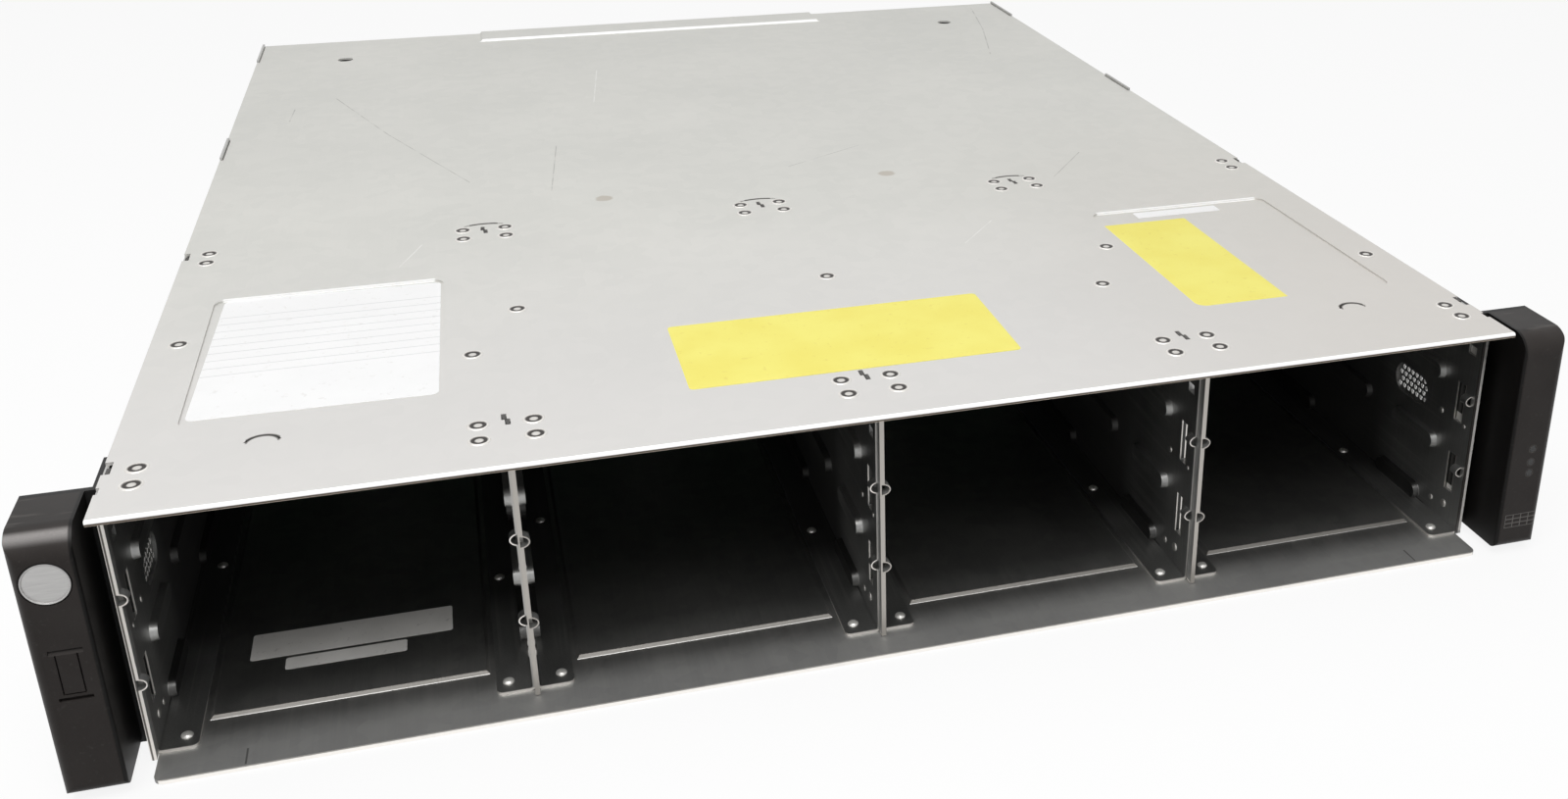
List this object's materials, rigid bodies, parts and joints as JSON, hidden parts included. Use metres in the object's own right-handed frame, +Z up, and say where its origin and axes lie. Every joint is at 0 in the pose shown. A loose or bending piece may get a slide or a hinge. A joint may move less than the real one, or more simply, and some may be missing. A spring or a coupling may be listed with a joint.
{
  "type": "storage array",
  "caption": "Two-unit rack enclosure: empty drive bays between stamped guide plates, dark ear caps, midplane, and slide-out controller and power modules at the rear.",
  "frame": {"origin": "on the underside of the base, midway across, level with the front edges of the side walls", "axes": "+X to the right seen from the front, +Y to the rear along the drives' travel, +Z up"},
  "size_m": [0.4826, 0.5772, 0.0886],
  "materials": {
    "zinc_sheet": "satin zinc-coated sheet",
    "guide_sheet": "satin zinc-coated sheet, darker inside the bays",
    "circuit_board": "green solder mask",
    "black_plastic": "moulded, matte",
    "ear_plastic": "moulded charcoal, fine grain",
    "badge_plate": "satin disc",
    "clear_plastic": "clear",
    "screw_steel": "bright zinc",
    "module_steel": "satin zinc-coated sheet"
  },
  "bodies": {
    "chassis": {"base_tray": "zinc_sheet", "left_side_wall": "zinc_sheet", "right_side_wall": "zinc_sheet", "top_cover": "zinc_sheet", "left_wall_guide": "guide_sheet", "right_wall_guide": "guide_sheet", "divider_1_left_guide": "guide_sheet", "divider_1_right_guide": "guide_sheet", "divider_2_left_guide": "guide_sheet", "divider_2_right_guide": "guide_sheet", "divider_3_left_guide": "guide_sheet", "divider_3_right_guide": "guide_sheet", "midplane_bracket": "zinc_sheet", "midplane_board": "circuit_board", "midplane_screws": "screw_steel", "drive_connectors": "black_plastic", "module_connectors": "black_plastic", "left_bay_wall": "zinc_sheet", "right_bay_wall": "zinc_sheet", "controller_shelf": "zinc_sheet", "left_rack_ear": "zinc_sheet", "right_rack_ear": "zinc_sheet", "status_board": "circuit_board"},
    "left_cap": {"left_ear_cap": "ear_plastic", "left_badge": "badge_plate"},
    "right_cap": {"right_ear_cap": "ear_plastic", "status_light_pipes": "clear_plastic"},
    "controller_a": {"controller_a_tray": "module_steel", "controller_a_board": "circuit_board", "controller_a_ports": "module_steel"},
    "controller_a_left_lever_body": {"controller_a_left_lever": "black_plastic"},
    "controller_a_left_thumbscrew_body": {"controller_a_left_thumbscrew": "screw_steel"},
    "controller_a_right_lever_body": {"controller_a_right_lever": "black_plastic"},
    "controller_a_right_thumbscrew_body": {"controller_a_right_thumbscrew": "screw_steel"},
    "controller_b": {"controller_b_tray": "module_steel", "controller_b_board": "circuit_board", "controller_b_ports": "module_steel"},
    "controller_b_left_lever_body": {"controller_b_left_lever": "black_plastic"},
    "controller_b_left_thumbscrew_body": {"controller_b_left_thumbscrew": "screw_steel"},
    "controller_b_right_lever_body": {"controller_b_right_lever": "black_plastic"},
    "controller_b_right_thumbscrew_body": {"controller_b_right_thumbscrew": "screw_steel"},
    "left_power": {"left_power_case": "module_steel", "left_power_lid": "module_steel", "left_power_fan_frame": "black_plastic", "left_power_fan_grille": "module_steel", "left_power_entry": "black_plastic", "left_power_board": "circuit_board"},
    "left_power_fan": {"left_power_fan_rotor": "black_plastic"},
    "left_power_rocker_body": {"left_power_rocker": "black_plastic"},
    "left_power_handle_body": {"left_power_handle": "black_plastic"},
    "right_power": {"right_power_case": "module_steel", "right_power_lid": "module_steel", "right_power_fan_frame": "black_plastic", "right_power_fan_grille": "module_steel", "right_power_entry": "black_plastic", "right_power_board": "circuit_board"},
    "right_power_fan": {"right_power_fan_rotor": "black_plastic"},
    "right_power_rocker_body": {"right_power_rocker": "black_plastic"},
    "right_power_handle_body": {"right_power_handle": "black_plastic"}
  },
  "joints": [
    {"name": "left_cap_pull", "type": "slide", "parent": "chassis", "child": "left_cap", "axis": [0, -1, 0], "range_m": [0, 0.03]},
    {"name": "right_cap_pull", "type": "slide", "parent": "chassis", "child": "right_cap", "axis": [0, -1, 0], "range_m": [0, 0.03]},
    {"name": "controller_a_slide", "type": "slide", "parent": "chassis", "child": "controller_a", "axis": [0, 1, 0], "range_m": [0, 0.33]},
    {"name": "controller_a_left_lever_hinge", "type": "hinge", "parent": "controller_a", "child": "controller_a_left_lever_body", "pos_m": [-0.091, 0.5508, 0.0096], "axis": [-1, 0, 0], "range_deg": [0, 80]},
    {"name": "controller_a_left_thumbscrew_turn", "type": "hinge", "parent": "controller_a_left_lever_body", "child": "controller_a_left_thumbscrew_body", "pos_m": [-0.091, 0.5508, 0.0261], "axis": [0, 1, 0], "continuous": true},
    {"name": "controller_a_right_lever_hinge", "type": "hinge", "parent": "controller_a", "child": "controller_a_right_lever_body", "pos_m": [0.091, 0.5508, 0.0096], "axis": [-1, 0, 0], "range_deg": [0, 80]},
    {"name": "controller_a_right_thumbscrew_turn", "type": "hinge", "parent": "controller_a_right_lever_body", "child": "controller_a_right_thumbscrew_body", "pos_m": [0.091, 0.5508, 0.0261], "axis": [0, 1, 0], "continuous": true},
    {"name": "controller_b_slide", "type": "slide", "parent": "chassis", "child": "controller_b", "axis": [0, 1, 0], "range_m": [0, 0.33]},
    {"name": "controller_b_left_lever_hinge", "type": "hinge", "parent": "controller_b", "child": "controller_b_left_lever_body", "pos_m": [-0.091, 0.5508, 0.0528], "axis": [-1, 0, 0], "range_deg": [0, 80]},
    {"name": "controller_b_left_thumbscrew_turn", "type": "hinge", "parent": "controller_b_left_lever_body", "child": "controller_b_left_thumbscrew_body", "pos_m": [-0.091, 0.5508, 0.0693], "axis": [0, 1, 0], "continuous": true},
    {"name": "controller_b_right_lever_hinge", "type": "hinge", "parent": "controller_b", "child": "controller_b_right_lever_body", "pos_m": [0.091, 0.5508, 0.0528], "axis": [-1, 0, 0], "range_deg": [0, 80]},
    {"name": "controller_b_right_thumbscrew_turn", "type": "hinge", "parent": "controller_b_right_lever_body", "child": "controller_b_right_thumbscrew_body", "pos_m": [0.091, 0.5508, 0.0693], "axis": [0, 1, 0], "continuous": true},
    {"name": "left_power_slide", "type": "slide", "parent": "chassis", "child": "left_power", "axis": [0, 1, 0], "range_m": [0, 0.33]},
    {"name": "left_power_fan_spin", "type": "hinge", "parent": "left_power", "child": "left_power_fan", "pos_m": [-0.1786, 0.5321, 0.0437], "axis": [0, 1, 0], "continuous": true},
    {"name": "left_power_rocker_tilt", "type": "hinge", "parent": "left_power", "child": "left_power_rocker_body", "pos_m": [-0.1194, 0.5428, 0.0547], "axis": [-1, 0, 0], "range_deg": [0, 16]},
    {"name": "left_power_handle_hinge", "type": "hinge", "parent": "left_power", "child": "left_power_handle_body", "pos_m": [-0.1375, 0.5508, 0.0207], "axis": [-1, 0, 0], "range_deg": [0, 80]},
    {"name": "right_power_slide", "type": "slide", "parent": "chassis", "child": "right_power", "axis": [0, 1, 0], "range_m": [0, 0.33]},
    {"name": "right_power_fan_spin", "type": "hinge", "parent": "right_power", "child": "right_power_fan", "pos_m": [0.1786, 0.5321, 0.0437], "axis": [0, 1, 0], "continuous": true},
    {"name": "right_power_rocker_tilt", "type": "hinge", "parent": "right_power", "child": "right_power_rocker_body", "pos_m": [0.1194, 0.5428, 0.0547], "axis": [-1, 0, 0], "range_deg": [0, 16]},
    {"name": "right_power_handle_hinge", "type": "hinge", "parent": "right_power", "child": "right_power_handle_body", "pos_m": [0.1375, 0.5508, 0.0207], "axis": [-1, 0, 0], "range_deg": [0, 80]}
  ]
}
